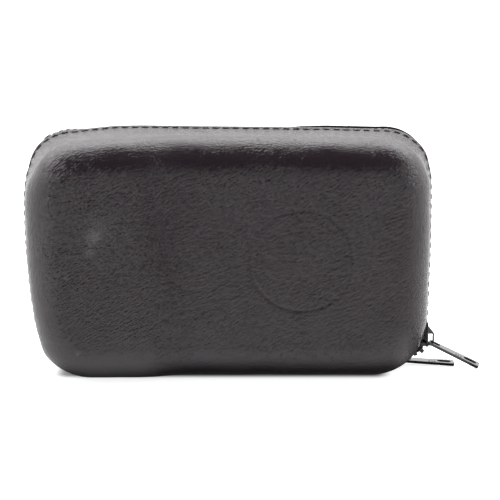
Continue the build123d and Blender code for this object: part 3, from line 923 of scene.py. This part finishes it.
def tapeStations():
    # from above the hinge over the top and down to the slider corner, then back along the bottom
    upper = case["height"] - case["rimRadii"][1]
    lower = case["rimLift"] + case["rimRadii"][2]
    topShare, lowShare = [(upper - z) / (upper - lower) for z in tape["ends"]]
    parts = []

    def straight(first, second, start, end, degrees, count):
        share = np.linspace(start, end, count, endpoint=False)
        turn = np.full(count, math.radians(degrees))
        parts.append((np.full(count, first), np.full(count, second), share, turn))

    def bend(corner, start, end, count):
        turn = np.radians(np.linspace(start, end, count, endpoint=False))
        parts.append((np.full(count, corner), np.full(count, corner), 0 * turn, turn))

    straight(1, 2, topShare, 0, 180, 4)
    bend(1, 180, 90, 16)
    straight(1, 0, 0, 1, 90, 60)
    bend(0, 90, 0, 16)
    straight(0, 3, 0, 1, 0, 40)
    corner = sum(len(p[0]) for p in parts)
    bend(3, 0, -90, tape["cornerRows"])
    straight(3, 2, 0, 1, 270, 70)
    bend(2, 270, 180, 16)
    straight(2, 1, 0, 1 - lowShare + 0.001, 180, 3)
    return tuple(np.concatenate(column) for column in zip(*parts)), corner


def makeTape(name):
    half = halves[name]
    stations, corner = tapeStations()
    cornerRows = tape["cornerRows"]
    x, z = loopAt(stations, case["rim"], tape["inset"])
    chain = np.stack([x, z], axis=1)
    short = rounded(tape["cornerWay"], tape["cornerBends"], 0.25)
    chain[corner : corner + cornerRows] = resample(short, count=cornerRows + 1)[:-1]
    upperNose, upperTail = tape["upperSlider"]
    lowerNose, lowerTail = tape["lowerSlider"]
    parted = np.minimum(
        (upperTail - chain[:, 1]) / (upperTail - upperNose),
        (chain[:, 0] - lowerTail) / (lowerNose - lowerTail),
    )
    edge = tape["edge"] + tape["spread"] * np.clip(parted, 0, 1)
    toothless = ease((tape["teethFrom"] - 1 - chain[:, 0]) / 3)
    outward = np.stack([np.cos(stations[3]), 0 * x, np.sin(stations[3])], axis=1)
    columns = []
    for share in np.linspace(0, 1, 7):
        depth = edge + (case["rim"] - edge) * share
        flat = chain * (1 - ease(share)) + np.stack([x, z], axis=1) * ease(share)
        row = np.stack([flat[:, 0], half["side"] * depth, flat[:, 1]], axis=1)
        weight = np.maximum(ease(share * 1.2), toothless)
        columns.append(row + (settle(row) - row) * weight[:, None])
    for depth in (5.4, 6.5, tape["under"]):
        row = wallRow(stations, half, depth, tape["inset"])
        columns.append(settle(row))
    middle = np.stack(columns, axis=1)
    off = outward[:, None] * tape["thickness"] / 2
    points, faces = slab(middle + off, middle - off)
    along = np.broadcast_to(lengths(chain)[:, None], middle.shape[:2])
    across = np.broadcast_to(np.abs(middle[:, :, 1]), middle.shape[:2])
    weave = np.tile(np.stack([along, across], axis=-1).reshape(-1, 2), (2, 1))
    piece = makeMesh(name + "WovenTape", points, faces, finish["tape"], weave)
    keep(piece, name + "_half", "zip_tape", name + "_zip_tape")


for name in halves:
    makeTape(name)
print("zip tapes made")

# the leather hinge, one strip that spans both halves, bowed at the zip's plane

hinge = {
    "span": (22.0, 67.0),
    "reach": 11.6,  # from the zip's plane, under the leather
    "inset": 2.1,
    "thickness": 1.0,
    "bow": 0.25,
    "bend": 4.0,  # mm either side of the zip's plane
}


def makeHinge():
    low, high = hinge["span"]
    near = np.array([0, 0.1, 0.3, 0.6])  # rows close to the ends, which are rounded
    heights = np.concatenate([low + near, np.linspace(low + 1.2, high - 1.2, 40), high - near[::-1]])
    under = np.linspace(5, hinge["reach"], 8)
    depths = np.concatenate([-under[::-1], np.linspace(-4.5, 4.5, 37), under])
    past = np.maximum(np.abs(depths) - case["rim"], 0)
    bow = hinge["bow"] * np.cos(np.clip(depths / case["rim"], -1, 1) * np.pi / 2)
    x = -case["halfWidth"] + hinge["inset"] + past * case["slope"] - bow
    fromEnd = np.minimum(heights - low, high - heights)
    radius = hinge["thickness"] / 2
    thick = radius * np.sqrt(1 - (1 - np.clip(fromEnd / radius, 0, 1)) ** 2 * 0.96)
    middle = np.stack(np.broadcast_arrays(x[:, None], depths[:, None], heights[None]), axis=-1)
    off = np.stack(np.broadcast_arrays(-thick[None], 0 * depths[:, None], 0), axis=-1)
    sides = [settle(side.reshape(-1, 3)).reshape(middle.shape) for side in (middle + off, middle - off)]
    points, faces = slab(*sides)
    piece = makeMesh("leatherHinge", points, faces, finish["hinge"])
    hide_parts("rear_hinge_leaf", "front_hinge_leaf")
    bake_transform(piece)


makeHinge()
print("hinge made")

# the belt loop on the back

loop = {
    "width": 45.0,
    "thickness": 1.8,
    "path": [(22.9, 15.0), (22.9, 23.0), (27.9, 28.0), (27.9, 60.0), (22.9, 65.0), (22.9, 73.0)],
    "bends": (2.5, 2.5, 2.5, 2.5),
    "seams": ((16.3, 21.6), (66.4, 71.7)),  # Z of the lower and upper row of each box of stitches
    "seamMargin": 2.0,
    "seamPitch": 3.4,
}


def makeBeltLoop():
    path = rounded(loop["path"], loop["bends"], 0.7)
    near = np.array([0, 0.12, 0.35])
    run = lengths(path)
    at = np.concatenate([near, np.linspace(0.8, run[-1] - 0.8, 90), run[-1] - near[::-1]])
    path = np.stack([np.interp(at, run, path[:, k]) for k in range(2)], axis=1)
    way = np.gradient(path, axis=0)
    way /= np.linalg.norm(way, axis=1)[:, None]
    out = np.stack([way[:, 1], -way[:, 0]], axis=1)
    half = loop["width"] / 2
    acrossHalf = half - np.array([0, 0.12, 0.35, 0.7, 1.1])
    across = np.concatenate([-acrossHalf, np.linspace(-half + 2, half - 2, 24), acrossHalf[::-1]])
    radius = loop["thickness"] / 2
    edge = np.minimum((half - np.abs(across))[None], np.minimum(at, run[-1] - at)[:, None])
    thick = radius * (0.35 + 0.65 * np.sqrt(1 - (1 - np.clip(edge / radius, 0, 1)) ** 2))
    middle = np.stack(np.broadcast_arrays(across[None], path[:, :1], path[:, 1:]), axis=-1)
    off = np.stack([0 * thick, out[:, :1] * thick, out[:, 1:] * thick], axis=-1)
    points, faces = slab(middle + off, middle - off)
    piece = makeMesh("beltStrap", points, faces, finish["strap"])
    keep(piece, "rear_half", "case_leather", "belt_loop")
    allPoints, allFaces, allWeave = [], [], []
    right = half - loop["seamMargin"]
    for low, high in loop["seams"]:
        y = loop["path"][0][0] + radius - 0.05
        corners = [(-right, low), (right, low), (right, high), (-right, high), (-right, low)]
        box = resample(np.array([(x, y, z) for x, z in corners]), 0.5)
        normals = np.tile([0.0, 1.0, 0.0], (len(box), 1))
        points, faces, weave = stitch(box, normals, loop["seamPitch"])
        base = sum(len(p) for p in allPoints)
        allFaces += [[base + i for i in face] for face in faces]
        allPoints.append(points)
        allWeave.append(weave)
    points, weave = np.concatenate(allPoints), np.concatenate(allWeave)
    stitches = makeMesh("strapStitches", points, allFaces, finish["thread"], weave)
    keep(stitches, "rear_half", "zip_tape")


makeBeltLoop()
print("belt loop made")

# teeth, stops, sliders and pull tabs keep the CAD shape with their sharp edges eased

hardware = {  # finish, slot, and width of the eased edges in mm
    "rear_zip_teeth": ("teeth", "zip_teeth", 0.12),
    "front_zip_teeth": ("teeth", "zip_teeth", 0.12),
    "rear_zip_stops": ("stops", "zip_stops", 0.1),
    "front_zip_stops": ("stops", "zip_stops", 0.1),
    "upper_slider_body": ("slider", "slider_metal", 0.14),
    "upper_slider_crown": ("slider", "slider_metal", 0.12),
    "upper_pull_tab": ("tab", "tab_metal", 0.16),
    "lower_slider_body": ("slider", "slider_metal", 0.14),
    "lower_slider_crown": ("slider", "slider_metal", 0.12),
    "lower_pull_tab": ("tab", "tab_metal", 0.16),
}
easing = {
    "weldWithin": 0.002,  # mm
    "flatWithin": 1,  # degrees
    "sharpFrom": 35,
}


def easeEdges(name, paint, slot, width):
    node = frame["nodes"][name]
    flatWithin, sharpFrom = math.radians(easing["flatWithin"]), math.radians(easing["sharpFrom"])
    bm = bmesh.new()
    bm.from_mesh(node.data)
    bmesh.ops.remove_doubles(bm, verts=bm.verts, dist=easing["weldWithin"] * mm)
    bmesh.ops.dissolve_limit(bm, angle_limit=flatWithin, verts=bm.verts, edges=bm.edges)
    corners = [edge for edge in bm.edges if len(edge.link_faces) == 2 and edge.is_convex]
    sharp = [edge for edge in corners if edge.calc_face_angle(0) > sharpFrom]
    shape = {"offset": width * mm, "offset_type": "OFFSET", "segments": 2, "profile": 0.5}
    bmesh.ops.bevel(bm, geom=sharp, affect="EDGES", clamp_overlap=True, **shape)
    for face in bm.faces:
        face.smooth = True
    mesh = bpy.data.meshes.new(name + "Eased")
    bm.to_mesh(mesh)
    bm.free()
    mesh.materials.append(finish[paint])
    piece = bpy.data.objects.new(name + "Eased", mesh)
    bpy.context.scene.collection.objects.link(piece)
    tidy = piece.modifiers.new("evenShading", "WEIGHTED_NORMAL")
    tidy.keep_sharp = True
    keep(piece, node["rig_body"], slot, name)


for name, (paint, slot, width) in hardware.items():
    easeEdges(name, paint, slot, width)
print("hardware made:", len(hardware))

# floor and light

studio = {
    "floorSize": 16,  # metres
    "floorColour": (0.7, 0.7, 0.7),
    "footprint": (1.0, 51.0, 12.0),  # mm: middle in X, half width and half depth of the case's foot
    "shadow": (-2.5, 53.5, 12.0),  # the same of the painted shadow on the floor under it
    "tabShadow": (74.0, 11.0, 3.0),  # and of the painted shade in what the pull tabs mirror
    "footFade": (6.8, 20.0),  # mm beyond each of the three, from dark to light
    "shadowFade": (0.9, 6.5),
    "tabFade": (6.0, 14.0),
    "paintedShadowGlow": (0.06, 0.06, 0.06),  # painted shade under the case, on the floor and in what the leather and tabs mirror
    "farGlow": (0.85, 0.85, 0.85),
    "mirrored": (1.6, 1.6, 1.6),  # painted reflection: what the leather mirrors of the floor near the case
    "paintedReflectionLeft": (0.65, 0.65, 0.65),  # and far from it, painted reflection too
    "paintedReflectionRight": (1.15, 1.15, 1.15),
    "leftToRight": (-110.0, 70.0),  # X
    "nearToFar": (-150.0, -310.0),  # Y
    "worldFar": (2.0, 2.0, 2.0),  # at the sides and the back
    "worldLow": (0.08, 0.08, 0.08),  # behind the camera, at the height of the floor
    "worldNear": (0.24, 0.24, 0.24),  # and above it
    "worldTurn": (-0.25, 0.3),  # from behind the camera round to the sides
    "worldRise": (0.1, 0.6),  # from the floor up
    "lampHeight": 0.5,  # metres
    "lampFront": 0.004,
    "lampBack": 0.35,
    "lampWidth": 1.4,
    "lampRadiance": 4.3,
}


def makeStudio():
    bpy.ops.mesh.primitive_plane_add(size=studio["floorSize"])
    floor = bpy.context.object
    floor.name = "studioFloor"
    paint = Paint("floorPaper")
    rays = paint.node("LightPath").socket.node
    direct, mirrored, through = [
        Wire(paint, rays.outputs["Is %s Ray" % kind]) for kind in ("Camera", "Glossy", "Transmission")
    ]
    seen = direct + mirrored + through
    matt = paint.node("BsdfDiffuse", None, {"Color": (*studio["floorColour"], 1)})
    x, y, _ = paint.axes(paint.place())
    fades = []
    for zone, fade in (("footprint", "footFade"), ("shadow", "shadowFade"), ("tabShadow", "tabFade")):
        middle, halfWidth, halfDepth = studio[zone]
        away = (paint.beyond(x - middle, halfWidth) ** 2 + paint.beyond(y, halfDepth) ** 2) ** 0.5
        fades.append(paint.step(away, *studio[fade]))
    # painted shadow: the floor's glow for camera rays is dark under the case and even further out
    glowWithPaintedShadow = paint.mix(fades[1], studio["paintedShadowGlow"], studio["farGlow"])
    # painted reflection: glossy rays see a floor glow that is bright near the case, dimmer far off on
    # the left, and dark under the case and the pull tabs
    toRight, toFar = paint.step(x, *studio["leftToRight"]), paint.step(y, *studio["nearToFar"])
    paintedReflectionFar = paint.mix(toRight, studio["paintedReflectionLeft"], studio["paintedReflectionRight"])
    paintedReflection = paint.mix(toFar, studio["mirrored"], paintedReflectionFar)
    for fade in (fades[0], fades[2]):
        paintedReflection = paint.mix(fade, studio["paintedShadowGlow"], paintedReflection)
    glow = paint.node("Emission", None, {"Color": glowWithPaintedShadow, "Strength": 1.0})
    lit = paint.node("AddShader", None, {0: matt, 1: glow})
    # glossy rays see only the painted reflection
    paintedReflectionGlow = paint.node("Emission", None, {"Color": paintedReflection, "Strength": 1.0})
    lit = paint.node("MixShader", None, {0: mirrored, 1: lit, 2: paintedReflectionGlow})
    shown = paint.node("MixShader", None, {0: seen, 1: matt, 2: lit})
    paint.node("OutputMaterial", None, {"Surface": shown})
    floor.data.materials.append(paint.owner)

    world = bpy.data.worlds.new("studio")
    bpy.context.scene.world = world
    sky = Paint("studio", world)
    rays = sky.node("LightPath").socket.node
    toSide, toBack, toTop = sky.axes(sky.node("TexCoord", out="Generated"))
    spread = toBack + sky.node("Math", {"operation": "ABSOLUTE"}, {0: toSide}) * 0.8
    level = sky.step(spread - toTop * 0.3, *studio["worldTurn"])
    near = sky.mix(sky.step(toTop, *studio["worldRise"]), studio["worldLow"], studio["worldNear"])
    around = sky.node("Background", None, {"Color": sky.mix(level, near, studio["worldFar"])})
    white = sky.node("Background", None, {"Strength": 1.0})
    direct = Wire(sky, rays.outputs["Is Camera Ray"])
    shown = sky.node("MixShader", None, {0: direct, 1: around, 2: white})
    sky.node("OutputWorld", None, {"Surface": shown})

    lamp = bpy.data.lights.new("overhead", "AREA")
    lamp.shape = "RECTANGLE"
    lamp.size = studio["lampWidth"]
    lamp.size_y = studio["lampBack"] - studio["lampFront"]
    lamp.energy = studio["lampRadiance"] * math.pi * lamp.size * lamp.size_y
    overhead = bpy.data.objects.new("overhead", lamp)
    bpy.context.scene.collection.objects.link(overhead)
    overhead.location = (0, (studio["lampBack"] + studio["lampFront"]) / 2, studio["lampHeight"])


makeStudio()
print("studio made")
